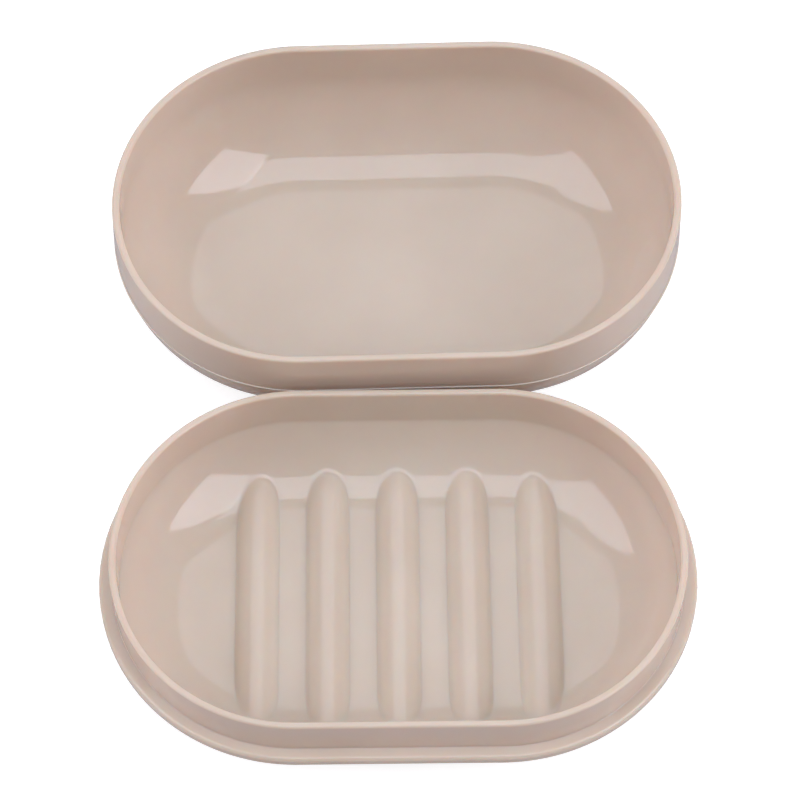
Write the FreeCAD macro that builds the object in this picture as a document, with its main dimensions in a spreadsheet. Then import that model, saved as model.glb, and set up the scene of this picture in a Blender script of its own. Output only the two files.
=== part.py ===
import FreeCAD, Part
import Sketcher
import math
import os

# Travel soap box: a ribbed tray and a loose lid, both thin plastic mouldings.
# Seen from above each one is two half circles joined by straight sides along X.
# The lid lies open side up behind the tray, as it is put down when the box is in use.
# Z = 0 is the table, and the origin is the middle of the footprint of the opened pair.

doc = FreeCAD.newDocument("travel_soap_box")

# Driving dimensions, in millimetres and degrees
sheet = doc.addObject("Spreadsheet::Sheet", "dims")
sizes = [
    ("straight_run", 39.0, "between the centres of the two end arcs, both mouldings"),
    ("tray_inner_radius", 35.0, "end arc of the tray's inner wall"),
    ("tray_wall", 1.4, "tray wall and spigot"),
    ("tray_floor", 1.4, "tray floor"),
    ("bowl_overrun", 1.35, "how far the bowl's round would run out past the spigot's inner wall"),
    ("corner_ease", 0.775, "how much less than half its end radius the bowl is rounded by"),
    ("bowl_bend", 2.5, "inner round where the spigot turns into the bowl"),
    ("tray_shoulder", 13.0, "underside to the flange top, where the lid seats"),
    ("spigot_height", 9.5, "inner wall above the flange, which the lid slips over"),
    ("flange_thickness", 2.6, "flange"),
    ("flange_lip", 0.8, "flange beyond the closed lid"),
    ("flange_round", 0.8, "edge of the flange"),
    ("rim_round", 0.5, "edges of both open rims"),
    ("rib_count", 5, "ribs that keep the soap off the floor"),
    ("rib_pitch", 14.0, "from rib to rib"),
    ("rib_width", 8.3, "rib at the floor"),
    ("rib_height", 2.5, "rib above the floor"),
    ("rib_wall", 1.4, "wall left between a rib and the groove under it"),
    ("fit_clearance", 0.25, "between the spigot and the lid, each side"),
    ("lid_wall", 1.5, "lid wall"),
    ("lid_top", 1.5, "flat top of the lid"),
    ("lid_height", 30.3, "lid, from its rim to its top"),
    ("lid_corner", 21.3, "outer round between the lid wall and top"),
    ("lid_draft", 0.32, "how much the outside of the lid wall draws in towards the rim"),
    ("draft_land", 0.3, "upright strip between the lid's corner and its drawn-in wall"),
    ("seam_drop", 2.0, "from the top of the lid's corner down to the mould seam"),
    ("seam_width", 0.4, "mould seam"),
    ("seam_height", 0.1, "mould seam proud of the lid wall"),
    ("open_gap", 1.44, "between the spigot and the lid where it lies open"),
    ("lid_shift", 0.6, "how far the open lid lies to the right of the tray"),
    ("lid_turn", 1.0, "how far the open lid is turned from square, in degrees"),
]
for row, (alias, size, note) in enumerate(sizes, start=1):
    sheet.set("A%d" % row, alias)
    sheet.set("B%d" % row, str(size))
    sheet.set("C%d" % row, note)
    sheet.setAlias("B%d" % row, alias)
doc.recompute()

# Sizes worked out from the driving dimensions
half_run = "dims.straight_run / 2"
tray_radius = "(dims.tray_inner_radius + dims.tray_wall)"
lid_inner_radius = "(%s + dims.fit_clearance)" % tray_radius
lid_rim_radius = "(%s + dims.lid_wall)" % lid_inner_radius
lid_radius = "(%s + dims.lid_draft)" % lid_rim_radius
seam_radius = "(%s + dims.seam_height)" % lid_radius
flange_radius = "(%s + dims.flange_lip)" % lid_rim_radius
tray_height = "(dims.tray_shoulder + dims.spigot_height)"
bowl_radius = "(dims.tray_inner_radius + dims.bowl_overrun)"
bowl_outer_radius = "(%s + dims.tray_wall)" % bowl_radius
tray_corner = "(%s / 2 - dims.corner_ease)" % bowl_radius
bowl_corner = "(%s + dims.tray_wall)" % tray_corner
bend_run = "(%s - dims.bowl_overrun)" % tray_corner
bend_rise = "(%s - sqrt(%s^2 - %s^2))" % (tray_corner, tray_corner, bend_run)
bend_height = "(dims.tray_floor + %s)" % bend_rise
rib_radius = "(((dims.rib_width / 2)^2 + dims.rib_height^2) / (2 * dims.rib_height))"
rib_axis = "(dims.tray_floor + dims.rib_height - %s)" % rib_radius
groove_radius = "(%s - dims.rib_wall)" % rib_radius
lid_swing = "(%s * sin(dims.lid_turn * 1 deg))" % half_run
lid_reach = "(%s + %s)" % (seam_radius, lid_swing)
spacing = "(%s + %s + dims.open_gap)" % (tray_radius, lid_reach)
tray_y = "-(%s + %s - %s) / 2" % (spacing, lid_reach, flange_radius)
lid_y = "%s + %s" % (tray_y, spacing)


# The value of an expression, as a plain number
def value(expression):
    found = sheet.evalExpression(expression)
    return float(getattr(found, "Value", found))


# A sketch on one of a body's own planes, raised off it by an expression
def plane_sketch(body, name, role, offset):
    sketch = body.newObject("Sketcher::SketchObject", name)
    planes = body.Origin.OriginFeatures
    sketch.AttachmentSupport = [(next(p for p in planes if p.Role == role), "")]
    sketch.MapMode = "FlatFace"
    sketch.setExpression("AttachmentOffset.Base.z", offset)
    return sketch


# Two half circles of one radius joined by tangent lines along X
def add_outline(sketch, reach, radius):
    up = FreeCAD.Vector(0, 0, 1)
    right = FreeCAD.Vector(reach, 0, 0)
    side = FreeCAD.Vector(0, radius, 0)
    quarter = math.pi / 2
    right_arc = Part.ArcOfCircle(Part.Circle(right, up, radius), -quarter, quarter)
    left_arc = Part.ArcOfCircle(Part.Circle(-right, up, radius), quarter, 3 * quarter)
    first = sketch.addGeometry(right_arc)
    sketch.addGeometry(Part.LineSegment(right + side, side - right))
    sketch.addGeometry(left_arc)
    sketch.addGeometry(Part.LineSegment(-right - side, right - side))
    # Ends are points 1 and 2 of a piece, and an arc's centre is point 3
    for piece, follower in ((0, 1), (1, 2), (2, 3), (3, 0)):
        sketch.addConstraint(Sketcher.Constraint("Tangent", first + piece, 2, first + follower, 1))
    return first, first + 2


# Name the sketch's newest constraint and bind it to an expression
def name_constraint(sketch, name, expression):
    sketch.renameConstraint(sketch.ConstraintCount - 1, name)
    sketch.setExpression(".Constraints." + name, expression)


# The plan outline of the box at one level: one end radius for a block, two for a ring
def plan_sketch(body, name, height, *radius_rules):
    sketch = plane_sketch(body, name, "XY_Plane", height)
    reach = value(half_run)
    for i, rule in enumerate(radius_rules):
        right, left = add_outline(sketch, reach, value(rule))
        sketch.addConstraint(Sketcher.Constraint("Radius", right, value(rule)))
        name_constraint(sketch, "radius%d" % i, rule)
        sketch.addConstraint(Sketcher.Constraint("PointOnObject", right, 3, -1))
        sketch.addConstraint(Sketcher.Constraint("PointOnObject", left, 3, -1))
        sketch.addConstraint(Sketcher.Constraint("DistanceX", -1, 1, right, 3, reach))
        name_constraint(sketch, "reach_right%d" % i, half_run)
        sketch.addConstraint(Sketcher.Constraint("DistanceX", left, 3, -1, 1, reach))
        name_constraint(sketch, "reach_left%d" % i, half_run)
    return sketch


# A body of round bars along Y at the rib axes, reaching into the tray's wall at both ends
def rib_bars(name, radius_rule):
    body = doc.addObject("PartDesign::Body", name)
    sketch = plane_sketch(body, name + "_section", "XZ_Plane", "0")
    count = round(value("dims.rib_count"))
    for i in range(count):
        steps = i - (count - 1) / 2
        x = steps * value("dims.rib_pitch")
        circle = Part.Circle(FreeCAD.Vector(x, 0, 0), FreeCAD.Vector(0, 0, 1), value(radius_rule))
        bar = sketch.addGeometry(circle)
        sketch.addConstraint(Sketcher.Constraint("Radius", bar, value(radius_rule)))
        name_constraint(sketch, "radius%d" % i, radius_rule)
        sketch.addConstraint(Sketcher.Constraint("PointOnObject", bar, 3, -1))
        if steps == 0:
            sketch.addConstraint(Sketcher.Constraint("PointOnObject", bar, 3, -2))
            continue
        near, far = ((-1, 1), (bar, 3)) if steps > 0 else ((bar, 3), (-1, 1))
        sketch.addConstraint(Sketcher.Constraint("DistanceX", *near, *far, abs(x)))
        name_constraint(sketch, "place%d" % i, "dims.rib_pitch * %g" % abs(steps))
    bars = pad(body, sketch, name + "_bars", "2 * " + tray_radius)
    bars.Midplane = True
    body.setExpression("Placement.Base.z", rib_axis)
    doc.recompute()
    return body


# Raise a sketch into a solid
def pad(body, sketch, name, length):
    feature = body.newObject("PartDesign::Pad", name)
    feature.Profile = sketch
    feature.setExpression("Length", length)
    doc.recompute()
    return feature


# Cut a sketch downwards out of the body, and make sure that it cut something
def pocket(body, sketch, name, depth):
    before = body.Tip.Shape.Volume
    feature = body.newObject("PartDesign::Pocket", name)
    feature.Profile = sketch
    feature.setExpression("Length", depth)
    doc.recompute()
    if feature.Shape.Volume >= before:
        raise RuntimeError(name + " cuts nothing")
    return feature


# Numbers of the level edges at one height that run at one radius from the plan's centre line
def plan_edges(shape, height, radius):
    close = 1e-4
    reach = value(half_run)
    numbers = []
    for number, edge in enumerate(shape.Edges, start=1):
        middle = edge.valueAt((edge.FirstParameter + edge.LastParameter) / 2)
        level = edge.BoundBox.ZLength < close and abs(middle.z - height) < close
        away = math.hypot(max(abs(middle.x) - reach, 0), middle.y)
        if level and abs(away - radius) < close:
            numbers.append(number)
    return numbers


# Round the plan edges of the body's last feature at one height
def round_plan(body, name, height, edge_radius, radius):
    base = body.Tip
    numbers = plan_edges(base.Shape, value(height), value(edge_radius))
    feature = body.newObject("PartDesign::Fillet", name)
    feature.Base = (base, ["Edge%d" % number for number in numbers])
    feature.setExpression("Radius", radius)
    doc.recompute()
    return feature


# Draw a wall in towards its rim: cut back by so much at the edge, down to so far below it
def draw_in_wall(body, name, height, edge_radius, drop, inset):
    base = body.Tip
    numbers = plan_edges(base.Shape, value(height), value(edge_radius))
    feature = body.newObject("PartDesign::Chamfer", name)
    feature.Base = (base, ["Edge%d" % number for number in numbers])
    feature.ChamferType = "Two distances"
    feature.setExpression("Size", drop)
    feature.setExpression("Size2", inset)
    doc.recompute()
    return feature


# Outside of the tray: a round bowl cut off inside the flange, the spigot, and the flange that the lid seats on
outside = doc.addObject("PartDesign::Body", "tray_outside")
bowl_top = "(%s + dims.rim_round)" % bowl_corner
bowl_plan = plan_sketch(outside, "bowl_plan", "0", bowl_outer_radius)
pad(outside, bowl_plan, "bowl", bowl_top)
round_plan(outside, "bowl_corner", "0", bowl_outer_radius, bowl_corner)
bowl_cut = "(dims.tray_shoulder - dims.flange_thickness / 2)"
bowl_cut_plan = plan_sketch(outside, "bowl_cut_plan", bowl_top, bowl_outer_radius)
pocket(outside, bowl_cut_plan, "bowl_cut", "%s - %s" % (bowl_top, bowl_cut))
flange_base = "(dims.tray_shoulder - dims.flange_thickness)"
spigot_plan = plan_sketch(outside, "spigot_plan", flange_base, tray_radius)
pad(outside, spigot_plan, "spigot", "%s - %s" % (tray_height, flange_base))
flange_plan = plan_sketch(outside, "flange_plan", flange_base, flange_radius)
pad(outside, flange_plan, "flange", "dims.flange_thickness")
round_plan(outside, "flange_top_edge", "dims.tray_shoulder", flange_radius, "dims.flange_round")
round_plan(outside, "flange_lower_edge", flange_base, flange_radius, "dims.flange_round")
round_plan(outside, "spigot_outer_edge", tray_height, tray_radius, "dims.rim_round")

# Inside of the tray: a round bowl inside the spigot's upright wall, less the half-round ribs that die into it
hollow = doc.addObject("PartDesign::Body", "tray_hollow")
hollow_plan = plan_sketch(hollow, "hollow_plan", "dims.tray_floor", bowl_radius)
pad(hollow, hollow_plan, "hollow_block", tray_height)
round_plan(hollow, "hollow_corner", "dims.tray_floor", bowl_radius, tray_corner)
hollow_top = "(dims.tray_floor + %s)" % tray_height
upright_plan = plan_sketch(hollow, "upright_plan", hollow_top, "dims.tray_inner_radius", bowl_outer_radius)
pocket(hollow, upright_plan, "upright_wall", "%s - %s / 2" % (tray_height, bend_rise))
round_plan(hollow, "bowl_bend", bend_height, "dims.tray_inner_radius", "dims.bowl_bend")
ribbed_hollow = doc.addObject("Part::Cut", "ribbed_hollow")
ribbed_hollow.Base = hollow
ribbed_hollow.Tool = rib_bars("ribs", rib_radius)

# Tray: the outside less the inside, and less the grooves that keep the ribs to one wall thickness
tray_shell = doc.addObject("Part::Cut", "tray_shell")
tray_shell.Base = outside
tray_shell.Tool = ribbed_hollow
grooved_tray = doc.addObject("Part::Cut", "grooved_tray")
grooved_tray.Base = tray_shell
grooved_tray.Tool = rib_bars("grooves", groove_radius)
doc.recompute()
base_tray = doc.addObject("Part::Fillet", "base_tray")
base_tray.Label = "base_tray"
base_tray.Base = grooved_tray
rim_edges = plan_edges(grooved_tray.Shape, value(tray_height), value("dims.tray_inner_radius"))
rim_round = value("dims.rim_round")
base_tray.Edges = [(number, rim_round, rim_round) for number in rim_edges]
base_tray.setExpression("Placement.Base.y", tray_y)

# Lid: a plain deep cap, lying on its flat top with its rim up
lid = doc.addObject("PartDesign::Body", "lid")
lid.Label = "lid"
lid_plan = plan_sketch(lid, "lid_outer_plan", "0", lid_radius)
pad(lid, lid_plan, "lid_block", "dims.lid_height")
lid_inner_plan = plan_sketch(lid, "lid_inner_plan", "dims.lid_height", lid_inner_radius)
pocket(lid, lid_inner_plan, "lid_hollow", "dims.lid_height - dims.lid_top")
lid_inner_corner = "dims.lid_corner - dims.lid_wall - dims.lid_draft"
round_plan(lid, "lid_inner_corner", "dims.lid_top", lid_inner_radius, lid_inner_corner)
round_plan(lid, "lid_outer_corner", "0", lid_radius, "dims.lid_corner")
draft_height = "(dims.lid_height - dims.lid_corner - dims.draft_land)"
draw_in_wall(lid, "lid_draft", "dims.lid_height", lid_radius, draft_height, "dims.lid_draft")
round_plan(lid, "lid_inner_edge", "dims.lid_height", lid_inner_radius, "dims.rim_round")
round_plan(lid, "lid_outer_edge", "dims.lid_height", lid_rim_radius, "dims.rim_round")
seam_base = "dims.lid_corner - dims.seam_drop - dims.seam_width / 2"
seam_root = "(%s + dims.lid_wall / 2)" % lid_inner_radius
seam_plan = plan_sketch(lid, "seam_plan", seam_base, seam_radius, seam_root)
pad(lid, seam_plan, "mould_seam", "dims.seam_width")
lid.Placement = FreeCAD.Placement(
    FreeCAD.Vector(0, 0, 0), FreeCAD.Rotation(FreeCAD.Vector(0, 0, 1), value("dims.lid_turn"))
)
lid.setExpression("Placement.Rotation.Angle", "dims.lid_turn * 1 deg")
lid.setExpression("Placement.Base.x", "dims.lid_shift")
lid.setExpression("Placement.Base.y", lid_y)
doc.recompute()

# Nothing is written unless every feature came out and both mouldings are sound
for item in doc.Objects:
    if "Invalid" in item.State or "Error" in item.State:
        raise RuntimeError("%s failed: %s" % (item.Name, item.State))
pieces = [base_tray, lid]
for piece in pieces:
    if piece.Shape.isNull() or not piece.Shape.isValid() or len(piece.Shape.Solids) != 1:
        raise RuntimeError(piece.Label + " is not one sound solid")

os.makedirs("parts", exist_ok=True)
for piece in pieces:
    piece.Shape.exportStep("parts/%s.step" % piece.Label)
    box = piece.Shape.optimalBoundingBox()
    print("%s: %.2f x %.2f x %.2f mm, y %.2f to %.2f, %.0f mm3" % (
        piece.Label, box.XLength, box.YLength, box.ZLength, box.YMin, box.YMax, piece.Shape.Volume))
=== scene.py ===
import bmesh
import bpy
import math
from mathutils import Matrix, Vector


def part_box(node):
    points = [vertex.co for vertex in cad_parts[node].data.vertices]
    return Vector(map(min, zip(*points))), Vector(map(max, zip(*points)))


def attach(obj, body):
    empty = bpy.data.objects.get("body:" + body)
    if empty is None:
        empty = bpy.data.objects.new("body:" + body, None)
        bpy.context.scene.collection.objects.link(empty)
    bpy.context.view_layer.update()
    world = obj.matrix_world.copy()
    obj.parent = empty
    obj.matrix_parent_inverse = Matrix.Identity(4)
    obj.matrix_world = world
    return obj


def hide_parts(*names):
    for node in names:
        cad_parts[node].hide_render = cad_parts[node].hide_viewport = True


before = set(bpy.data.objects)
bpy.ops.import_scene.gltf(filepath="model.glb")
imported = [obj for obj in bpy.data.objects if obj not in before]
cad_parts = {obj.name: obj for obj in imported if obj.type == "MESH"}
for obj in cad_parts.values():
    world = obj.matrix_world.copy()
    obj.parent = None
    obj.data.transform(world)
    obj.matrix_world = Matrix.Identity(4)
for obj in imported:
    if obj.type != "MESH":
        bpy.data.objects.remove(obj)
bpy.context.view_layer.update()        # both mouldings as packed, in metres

mm = 0.001
weldDistance = 0.02 * mm          # points closer than this are one point
smoothAngle = math.radians(40)    # sharper edges stay sharp
print("frame loaded:", sorted(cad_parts))


# general helpers

def deselectAll():
    bpy.ops.object.select_all(action="DESELECT")


def setInput(node, **values):
    for name, value in values.items():
        node.inputs[name.replace("_", " ")].default_value = value


# a round in the profile, as (out, up) pairs, angles in degrees, 0 = outwards, 90 = up
def roundPoints(centre, radius, start, end, steps=6):
    angles = [math.radians(start + (end - start) * i / steps) for i in range(steps + 1)]
    return [(centre[0] + radius * math.cos(a), centre[1] + radius * math.sin(a)) for a in angles]


# the bowl skin: flat floor, then a round, measured by the way along it from the middle
def skinPoint(skin, travel):
    if travel <= skin["flat"]:
        return travel, skin["floor"]
    angle = (travel - skin["flat"]) / skin["corner"]
    return (skin["flat"] + skin["corner"] * math.sin(angle),
            skin["floor"] + skin["corner"] * (1 - math.cos(angle)))


def skinTravel(skin, out):
    if out <= skin["flat"]:
        return out
    return skin["flat"] + skin["corner"] * math.asin(min(1, (out - skin["flat"]) / skin["corner"]))


def skinHeight(skin, out):
    return skinPoint(skin, skinTravel(skin, out))[1]


# nearest point of the middle line, the way out from it, and how far out the point lies
def wayOut(point, halfRun):
    middle = Vector((max(-halfRun, min(halfRun, point.x)), 0, 0))
    way = Vector((point.x, point.y, 0)) - middle
    return middle, way.normalized(), way.length


def farOut(x, y, halfRun):
    return math.hypot(max(abs(x) - halfRun, 0), y)


# where the way out crosses the edge of the floor sheet
def sheetEdge(middle, way, sheet):
    reach = []
    if abs(way.x) > 1e-9:
        reach.append((sheet[0] - abs(middle.x)) / abs(way.x))
    if abs(way.y) > 1e-9:
        reach.append(sheet[1] / abs(way.y))
    return min(reach)


# a grid whose lines lie where the shape needs them, raised by a rule
def addSheet(name, columns, rows, height):
    deselectAll()
    bpy.ops.mesh.primitive_grid_add(x_subdivisions=len(columns) - 1, y_subdivisions=len(rows) - 1, size=2)
    sheet = bpy.context.object
    sheet.name = name
    for v in sheet.data.vertices:
        x = columns[round((v.co.x + 1) / 2 * (len(columns) - 1))]
        y = rows[round((v.co.y + 1) / 2 * (len(rows) - 1))]
        v.co = (x, y, height(x, y))
    return sheet


# extrude the open edge and lay the new points by a rule
def extrudeEdge(piece, place):
    bpy.ops.mesh.extrude_region()
    mesh = bmesh.from_edit_mesh(piece.data)
    for v in mesh.verts:
        if v.select:
            v.co = place(v.co)
    bmesh.update_edit_mesh(piece.data)


# one moulding: the inner sheet, its corner, the wall and rim profile, the outer corner, the underside
def mouldShell(name, halfRun, sheet, inner, outer, inside, underside, columns, rows, profile, cornerSteps):
    piece = addSheet(name, columns, rows, inside)
    bpy.ops.object.mode_set(mode="EDIT")
    bpy.ops.mesh.select_mode(type="EDGE")
    bpy.ops.mesh.select_all(action="DESELECT")
    bpy.ops.mesh.select_non_manifold(extend=False)

    for step in range(cornerSteps):
        def alongInner(point):
            middle, way, out = wayOut(point, halfRun)
            travel = skinTravel(inner, out)
            full = inner["flat"] + inner["corner"] * inner["turn"]
            out, up = skinPoint(inner, travel + (full - travel) / (cornerSteps - step))
            return middle + way * out + Vector((0, 0, up))
        extrudeEdge(piece, alongInner)

    for out, up in profile:
        def onProfile(point):
            middle, way, _ = wayOut(point, halfRun)
            return middle + way * out + Vector((0, 0, up))
        extrudeEdge(piece, onProfile)

    for step in range(cornerSteps):
        def alongOuter(point):
            middle, way, out = wayOut(point, halfRun)
            travel = skinTravel(outer, out)
            last = skinTravel(outer, sheetEdge(middle, way, sheet))
            out, up = skinPoint(outer, travel + (last - travel) / (cornerSteps - step))
            return middle + way * out + Vector((0, 0, up))
        extrudeEdge(piece, alongOuter)
    bpy.ops.object.mode_set(mode="OBJECT")

    bottom = addSheet(name + "Underside", columns, rows, underside)
    deselectAll()
    bottom.select_set(True)
    piece.select_set(True)
    bpy.context.view_layer.objects.active = piece
    bpy.ops.object.join()
    bpy.ops.object.mode_set(mode="EDIT")
    bpy.ops.mesh.select_all(action="SELECT")
    bpy.ops.mesh.remove_doubles(threshold=weldDistance)
    bpy.ops.mesh.normals_make_consistent(inside=False)
    bpy.ops.object.mode_set(mode="OBJECT")
    bpy.ops.object.shade_smooth_by_angle(angle=smoothAngle)
    return piece


# base tray

trayLow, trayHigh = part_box("base_tray")
trayMiddle = (trayLow + trayHigh) / 2
flangeRadius = (trayHigh.y - trayLow.y) / 2
halfRun = (trayHigh.x - trayLow.x) / 2 - flangeRadius
traySizes = {
    "innerRadius": 35.0 * mm,
    "wall": 1.4 * mm,             # also the floor
    "flat": 18.95 * mm,           # flat floor, from the middle line to the round of the bowl
    "corner": 17.4 * mm,          # inner round of the bowl
    "bend": 2.5 * mm,             # round where the upright wall turns into the bowl
    "shoulder": 13.0 * mm,        # top of the flange
    "flangeThickness": 2.6 * mm,
    "flangeRound": 0.8 * mm,
    "flangeRoot": 0.25 * mm,      # small fillet where the spigot leaves the flange
    "rimRound": 0.5 * mm,
    "ribCount": 5,
    "ribPitch": 14.0 * mm,
    "ribWidth": 8.3 * mm,
    "ribHeight": 2.5 * mm,
    "ribBlend": 0.6 * mm,         # softness of the crease round a rib
    "sheet": (35.0 * mm, 29.5 * mm),   # half the floor sheet, along and across
    "support": 0.15 * mm,         # line beside a round that keeps the flat shading flat
    "cornerSteps": 14,
    # spacing and number of the mesh lines, across half a rib and along the ribs
    "crownLines": (0.45 * mm, 8),
    "creaseLines": (0.15 * mm, 4),     # on each side of the crease
    "valleyLines": (0.55 * mm, 3),
    "denseFrom": 17.0 * mm,       # the ribs end beyond this
    "denseStep": 0.36 * mm,
    "openStep": 1.2 * mm,
}


# the higher of two heights, with the crease between them rounded off
def softMax(a, b, blend):
    overlap = max(blend - abs(a - b), 0) / blend
    return max(a, b) + overlap * overlap * blend / 4


# lines across one rib: even over its crown, close together at its crease
def ribLines(s):
    crownStep, crownCount = s["crownLines"]
    creaseStep, creaseCount = s["creaseLines"]
    valleyStep, valleyCount = s["valleyLines"]
    crown = [crownStep * i for i in range(crownCount)]
    crease = [s["ribWidth"] / 2 + creaseStep * i for i in range(-creaseCount, creaseCount + 1)]
    valley = [s["ribPitch"] / 2 - valleyStep * i for i in range(valleyCount, -1, -1)]
    half = crown + crease + valley
    lines = []
    for i in range(s["ribCount"]):
        middle = (i - (s["ribCount"] - 1) / 2) * s["ribPitch"]
        lines += [middle - h for h in reversed(half[1:])] + [middle + h for h in half]
    joined = [lines[0]]
    for line in lines[1:]:
        if line - joined[-1] > weldDistance / 2:
            joined.append(line)
    return joined


# lines along the ribs: open in the middle, close together where the ribs end
def endLines(s):
    edge = s["sheet"][1]
    denseFrom = s["denseFrom"]
    openCount = round(2 * denseFrom / s["openStep"])
    denseCount = round((edge - denseFrom) / s["denseStep"])
    dense = [denseFrom + (edge - denseFrom) * i / denseCount for i in range(1, denseCount + 1)]
    middle = [-denseFrom + 2 * denseFrom * i / openCount for i in range(openCount + 1)]
    return [-d for d in reversed(dense)] + middle + dense


def makeBaseTray(s):
    outerRadius = s["innerRadius"] + s["wall"]
    top = trayHigh.z
    flangeBase = s["shoulder"] - s["flangeThickness"]
    # the bend touches the upright wall outside and the round of the bowl below
    bendOut = s["innerRadius"] - s["bend"]
    bendTurn = math.asin((bendOut - s["flat"]) / (s["corner"] - s["bend"]))
    bendUp = s["wall"] + s["corner"] - (s["corner"] - s["bend"]) * math.cos(bendTurn)
    inner = {"flat": s["flat"], "corner": s["corner"], "floor": s["wall"], "turn": bendTurn}
    outer = {"flat": s["flat"], "corner": s["corner"] + s["wall"], "floor": 0.0}
    ribRadius = ((s["ribWidth"] / 2) ** 2 + s["ribHeight"] ** 2) / (2 * s["ribHeight"])
    ribAxis = s["wall"] + s["ribHeight"] - ribRadius
    grooveRadius = ribRadius - s["wall"]

    def barHeight(x, radius):
        place = x / s["ribPitch"] + (s["ribCount"] - 1) / 2
        place = max(0, min(s["ribCount"] - 1, round(place)))
        off = x - (place - (s["ribCount"] - 1) / 2) * s["ribPitch"]
        return ribAxis + math.sqrt(radius ** 2 - off ** 2) if abs(off) < radius else -1.0

    def inside(x, y):
        bowl = skinHeight(inner, farOut(x, y, halfRun))
        return softMax(bowl, barHeight(x, ribRadius), s["ribBlend"])

    def underside(x, y):
        bowl = skinHeight(outer, farOut(x, y, halfRun))
        return max(bowl, barHeight(x, grooveRadius))

    rim = s["rimRound"]
    near = s["support"]
    root = s["flangeRoot"]
    edge = s["flangeRound"]
    bowlOut = outer["flat"] + math.sqrt(outer["corner"] ** 2 - (outer["corner"] - flangeBase) ** 2)
    profile = roundPoints((bendOut, bendUp), s["bend"], math.degrees(bendTurn) - 90, 0, 5)[1:]
    wallRise = top - rim - 2 * near - bendUp
    profile += [(s["innerRadius"], bendUp + near + wallRise * k / 4) for k in range(5)]
    profile += roundPoints((s["innerRadius"] + rim, top - rim), rim, 180, 90)
    profile += roundPoints((outerRadius - rim, top - rim), rim, 90, 0)
    profile += [(outerRadius, top - rim - near), (outerRadius, (top + s["shoulder"]) / 2)]
    profile += [(outerRadius, s["shoulder"] + root + near)]
    profile += roundPoints((outerRadius + root, s["shoulder"] + root), root, 180, 270, 4)
    profile += [(outerRadius + root + near, s["shoulder"]), (flangeRadius - edge - near, s["shoulder"])]
    profile += roundPoints((flangeRadius - edge, s["shoulder"] - edge), edge, 90, 0)
    profile += roundPoints((flangeRadius - edge, flangeBase + edge), edge, 0, -90)
    profile += [(flangeRadius - edge - near, flangeBase)]
    profile += [(bowlOut + near, flangeBase), (bowlOut, flangeBase)]

    tray = mouldShell("soapTray", halfRun, s["sheet"], inner, outer, inside, underside,
                      ribLines(s), endLines(s), profile, s["cornerSteps"])
    tray.data.transform(Matrix.Translation((trayMiddle.x, trayMiddle.y, 0)))
    return tray


soapTray = makeBaseTray(traySizes)
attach(soapTray, "tray")
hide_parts("base_tray")
print("soap tray:", len(soapTray.data.polygons), "faces")


# lid

lidLow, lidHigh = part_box("lid")
lidMiddle = (lidLow + lidHigh) / 2
lidSizes = {
    "clearance": 0.25 * mm,       # between the spigot and the lid
    "wall": 1.5 * mm,             # also the flat top
    "corner": 21.3 * mm,          # outer round between wall and top
    "draft": 0.32 * mm,           # the wall draws in towards the rim
    "draftLand": 0.3 * mm,        # upright strip between the round and the drawn-in wall
    "rimRound": 0.5 * mm,
    "seamDrop": 2.0 * mm,         # mould seam below the top of the round
    "seamWidth": 0.4 * mm,
    "seamHeight": 0.1 * mm,
    "seamShoulder": (0.6, 0.03 * mm),   # share of the half width, and drop, where its top rounds off
    "turn": math.radians(1.0),
    "sheet": (35.0 * mm, 29.5 * mm),
    "support": 0.15 * mm,
    "cornerSteps": 16,
    "lineStep": 1.0 * mm,         # mesh lines over the flat top
    "draftShares": (0.02, 0.35, 0.7, 1),
}


def evenLines(edge, step):
    count = round(2 * edge / step)
    return [-edge + 2 * edge * i / count for i in range(count + 1)]


def makeLid(s):
    innerRadius = traySizes["innerRadius"] + traySizes["wall"] + s["clearance"]
    rimRadius = innerRadius + s["wall"]
    outerRadius = rimRadius + s["draft"]
    top = lidHigh.z
    flat = outerRadius - s["corner"]
    inner = {"flat": flat, "corner": innerRadius - flat, "floor": s["wall"], "turn": math.pi / 2}
    outer = {"flat": flat, "corner": s["corner"], "floor": 0.0}

    def inside(x, y):
        return skinHeight(inner, farOut(x, y, halfRun))

    def underside(x, y):
        return skinHeight(outer, farOut(x, y, halfRun))

    def onRound(up):
        return flat + math.sqrt(s["corner"] ** 2 - (s["corner"] - up) ** 2), up

    cornerTop = s["wall"] + inner["corner"]
    rim = s["rimRound"]
    near = s["support"]
    land = s["corner"] + s["draftLand"]
    seam = s["corner"] - s["seamDrop"]
    half = s["seamWidth"] / 2
    bead = outerRadius + s["seamHeight"]
    wallRise = top - rim - near - cornerTop
    profile = [(innerRadius, cornerTop + wallRise * k / 4) for k in (1, 2, 3, 4)]
    profile += roundPoints((innerRadius + rim, top - rim), rim, 180, 90)
    profile += roundPoints((rimRadius - rim, top - rim), rim, 90, 0)
    for share in s["draftShares"]:
        profile.append((rimRadius + s["draft"] * share, top - rim - (top - rim - land) * share))
    profile += [(outerRadius, s["corner"]), onRound(seam + half + near), onRound(seam + half)]
    shoulder, drop = s["seamShoulder"]
    profile += [(bead - drop, seam + half * shoulder), (bead, seam), (bead - drop, seam - half * shoulder)]
    profile += [onRound(seam - half)]

    lid = mouldShell("soapLid", halfRun, s["sheet"], inner, outer, inside, underside,
                     evenLines(s["sheet"][0], s["lineStep"]), evenLines(s["sheet"][1], s["lineStep"]),
                     profile, s["cornerSteps"])
    place = Matrix.Translation((lidMiddle.x, lidMiddle.y, 0))
    lid.data.transform(place @ Matrix.Rotation(s["turn"], 4, "Z"))
    return lid


soapLid = makeLid(lidSizes)
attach(soapLid, "lid")
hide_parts("lid")
print("lid:", len(soapLid.data.polygons), "faces")


# beige moulded plastic

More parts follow.
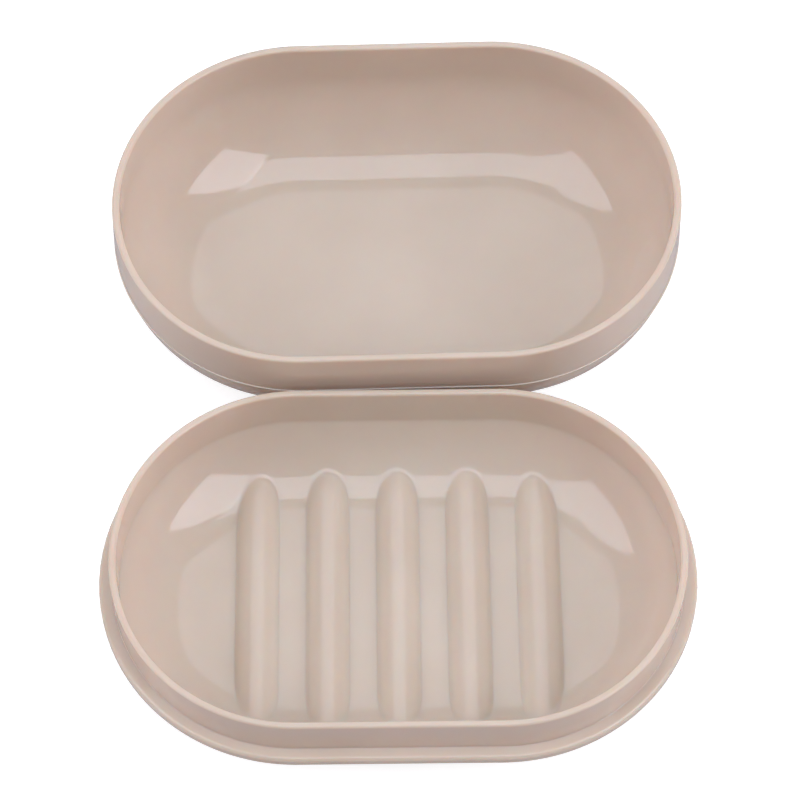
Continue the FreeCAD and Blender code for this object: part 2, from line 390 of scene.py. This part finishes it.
plasticLook = {
    "paleTone": (0.672, 0.561, 0.452, 1),
    "deepTone": (0.642, 0.531, 0.424, 1),
    "toneScale": 45.0,            # clouds about 20 mm across
    "smoothest": 0.05,
    "roughest": 0.10,
    "hazeScale": 160.0,           # patches about 6 mm across
    "shine": 1.59,                # refractive index
    "subsurface": 0.7,
    "lightDepth": 3.0 * mm,       # how far red light gets into the plastic
    "lightTint": (1.0, 0.5, 0.3),
    "waveScale": 55.0,            # slow ripple of the polished mould
    "waveStrength": 0.14,
    "waveDepth": 1.0 * mm,
}


def makeBeigePlastic(look):
    plastic = bpy.data.materials.new("beigePlastic")
    plastic.use_nodes = True
    nodes = plastic.node_tree.nodes
    links = plastic.node_tree.links
    shader = nodes["Principled BSDF"]
    setInput(shader, Subsurface_Weight=look["subsurface"], Subsurface_Scale=look["lightDepth"])
    setInput(shader, Subsurface_Radius=look["lightTint"], IOR=look["shine"])
    place = nodes.new("ShaderNodeTexCoord")

    clouds = nodes.new("ShaderNodeTexNoise")
    setInput(clouds, Scale=look["toneScale"], Detail=3.0)
    links.new(place.outputs["Object"], clouds.inputs["Vector"])
    tone = nodes.new("ShaderNodeValToRGB")
    tone.color_ramp.elements[0].position = 0.35
    tone.color_ramp.elements[0].color = look["deepTone"]
    tone.color_ramp.elements[1].position = 0.65
    tone.color_ramp.elements[1].color = look["paleTone"]
    links.new(clouds.outputs["Fac"], tone.inputs["Fac"])
    links.new(tone.outputs["Color"], shader.inputs["Base Color"])

    haze = nodes.new("ShaderNodeTexNoise")
    setInput(haze, Scale=look["hazeScale"], Detail=4.0)
    links.new(place.outputs["Object"], haze.inputs["Vector"])
    polish = nodes.new("ShaderNodeMapRange")
    setInput(polish, To_Min=look["smoothest"], To_Max=look["roughest"])
    links.new(haze.outputs["Fac"], polish.inputs["Value"])
    links.new(polish.outputs["Result"], shader.inputs["Roughness"])

    ripple = nodes.new("ShaderNodeTexNoise")
    setInput(ripple, Scale=look["waveScale"], Detail=1.0)
    links.new(place.outputs["Object"], ripple.inputs["Vector"])
    bump = nodes.new("ShaderNodeBump")
    setInput(bump, Strength=look["waveStrength"], Distance=look["waveDepth"])
    links.new(ripple.outputs["Fac"], bump.inputs["Height"])
    links.new(bump.outputs["Normal"], shader.inputs["Normal"])
    return plastic


beigePlastic = makeBeigePlastic(plasticLook)
for moulding in (soapTray, soapLid):
    moulding.data.materials.clear()
    moulding.data.materials.append(beigePlastic)
print("plastic done")


# studio: pale floor, soft lights, camera

floorLook = {"size": 3.0, "tone": (0.58, 0.56, 0.54, 1), "glow": 0.72}


def makeFloor(look):
    deselectAll()
    bpy.ops.mesh.primitive_plane_add(size=look["size"])
    floor = bpy.context.object
    floor.name = "studioFloor"
    pale = bpy.data.materials.new("paleFloor")
    pale.use_nodes = True
    shader = pale.node_tree.nodes["Principled BSDF"]
    setInput(shader, Base_Color=look["tone"], Roughness=0.8, Specular_IOR_Level=0.0)
    setInput(shader, Emission_Color=(1, 1, 1, 1))
    # the glow shows to the camera only, so that it doesn't light the mouldings from below
    seen = pale.node_tree.nodes.new("ShaderNodeLightPath")
    glow = pale.node_tree.nodes.new("ShaderNodeMath")
    glow.operation = "MULTIPLY"
    glow.inputs[1].default_value = look["glow"]
    pale.node_tree.links.new(seen.outputs["Is Camera Ray"], glow.inputs[0])
    pale.node_tree.links.new(glow.outputs["Value"], shader.inputs["Emission Strength"])
    floor.data.materials.append(pale)
    return floor


studioFloor = makeFloor(floorLook)


coolWhite = (0.965, 1.0, 1.14)
surroundLight = 0.13

# soft light panels: middle, the way they face, size across, size along, and brightness
lightPanels = {
    "overheadPanel": ((0.0, -0.51, 2.0), (0, 0, -1), 1.48, 1.10, 1.93),
    "leftPanel": ((-1.09, -0.39, 1.45), (0.847, 0, -0.532), 1.30, 1.30, 2.0),
    "rightPanel": ((1.14, -0.79, 1.47), (-0.824, 0, -0.567), 1.29, 1.50, 2.68),
    "leftLowPanel": ((-1.75, 0.2, 0.55), (1, 0, -0.25), 0.90, 1.20, 3.4),
    "rightLowPanel": ((1.75, 0.2, 0.55), (-1, 0, -0.25), 0.90, 1.20, 4.1),
    "backPanel": ((0.0, 1.30, 1.9), (0, -0.56, -0.82), 2.40, 1.60, 0.87),
}


def addPanel(name, place, facing, across, along, brightness):
    deselectAll()
    bpy.ops.object.light_add(type="AREA", location=place)
    lamp = bpy.context.object
    lamp.name = name
    lamp.data.shape = "RECTANGLE"
    lamp.data.size = across
    lamp.data.size_y = along
    lamp.data.energy = brightness * math.pi * across * along
    lamp.data.color = coolWhite
    lamp.rotation_euler = Vector(facing).to_track_quat("-Z", "Y").to_euler()
    return lamp


for panelName, panel in lightPanels.items():
    panelLamp = addPanel(panelName, *panel)
    # the low ones fill the sides, without a mirror image in the walls
    panelLamp.visible_glossy = "Low" not in panelName

studioWorld = bpy.data.worlds.new("studioWorld")
studioWorld.use_nodes = True
setInput(studioWorld.node_tree.nodes["Background"], Color=(1, 1, 1, 1), Strength=surroundLight)
bpy.context.scene.world = studioWorld
bpy.context.scene.view_settings.view_transform = "Standard"

cameraSizes = {
    "aboveTray": Vector((0.32, -275.6, 547.7)) * mm,   # from the middle of the tray's rim
    "tilt": math.radians(60.534),                      # how far it looks down
    "turn": math.radians(-0.677),
    "lens": 143.09,
    "sensor": 36.0,
}


def makeCamera(s):
    deselectAll()
    rimMiddle = Vector((trayMiddle.x, trayMiddle.y, trayHigh.z))
    place = rimMiddle + Matrix.Rotation(s["turn"], 3, "Z") @ s["aboveTray"]
    bpy.ops.object.camera_add(location=place, rotation=(math.pi / 2 - s["tilt"], 0, s["turn"]))
    camera = bpy.context.object
    camera.name = "photoCamera"
    camera.data.lens = s["lens"]
    camera.data.sensor_width = s["sensor"]
    return camera


bpy.context.scene.camera = makeCamera(cameraSizes)
print("studio done")
